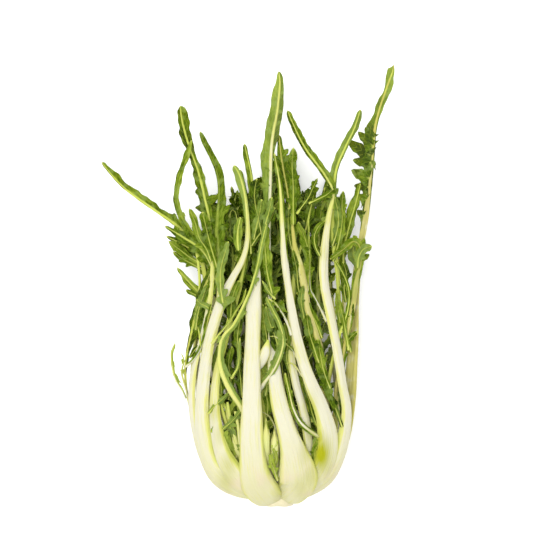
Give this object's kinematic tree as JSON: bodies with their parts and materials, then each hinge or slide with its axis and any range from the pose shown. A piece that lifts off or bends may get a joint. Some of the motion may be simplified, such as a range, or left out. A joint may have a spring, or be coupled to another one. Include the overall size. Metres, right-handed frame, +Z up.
{
  "type": "puntarelle head",
  "caption": "Head of puntarelle chicory lying on its side: thick white stalks that grow from a cut root and run out into long narrow lobed green leaves.",
  "frame": {"origin": "middle of the surface that the head lies on, under the middle of its outer box", "axes": "+Y from the cut root towards the leaf tips, +Z up from the surface, +X to the right when looking down on it with the tips away"},
  "size_m": [0.2662, 0.4032, 0.1144],
  "materials": {
    "white_stalk": "satin",
    "green_leaf": "satin",
    "pale_shoot": "satin",
    "root_stump": "matte"
  },
  "bodies": {
    "root": {"root_stump": "root_stump", "front_cut_leaf": "white_stalk", "front_centre_leaf": "white_stalk", "front_long_leaf": "white_stalk", "front_crossing_leaf": "green_leaf", "front_crescent_leaf": "green_leaf", "front_curl_leaf": "green_leaf", "right_hooked_leaf": "white_stalk", "right_outer_leaf": "white_stalk", "right_fork_leaf": "green_leaf", "right_tan_leaf": "white_stalk", "right_inner_leaf": "white_stalk", "right_curled_leaf": "green_leaf", "right_serrated_leaf": "green_leaf", "right_broad_leaf": "green_leaf", "left_white_leaf": "white_stalk", "left_slim_leaf": "white_stalk", "left_tall_leaf": "white_stalk", "left_rim_leaf": "green_leaf", "left_frill_leaf": "green_leaf", "left_strap_leaf": "green_leaf", "left_pale_leaf": "green_leaf", "left_dark_leaf": "green_leaf", "left_fan_leaf_upper": "green_leaf", "left_fan_leaf_lower": "green_leaf", "left_finger_leaf": "green_leaf", "under_leaf_middle": "white_stalk", "under_leaf_right": "white_stalk", "under_leaf_left": "white_stalk", "under_leaf_outer_right": "white_stalk", "under_leaf_outer_left": "white_stalk", "middle_leaf_top": "green_leaf", "middle_leaf_upper_right": "green_leaf", "middle_leaf_right": "green_leaf", "middle_leaf_lower_right": "green_leaf", "middle_leaf_under_right": "green_leaf", "middle_leaf_under_left": "green_leaf", "middle_leaf_lower_left": "green_leaf", "middle_leaf_left": "green_leaf", "middle_leaf_centre": "green_leaf", "heart_shoot_left_outer": "pale_shoot", "heart_shoot_left_inner": "pale_shoot", "heart_shoot_front_tall": "pale_shoot", "heart_shoot_front_short": "pale_shoot", "heart_shoot_middle": "pale_shoot", "heart_shoot_right": "pale_shoot", "heart_shoot_left": "pale_shoot", "heart_shoot_right_low": "pale_shoot"}
  },
  "joints": []
}
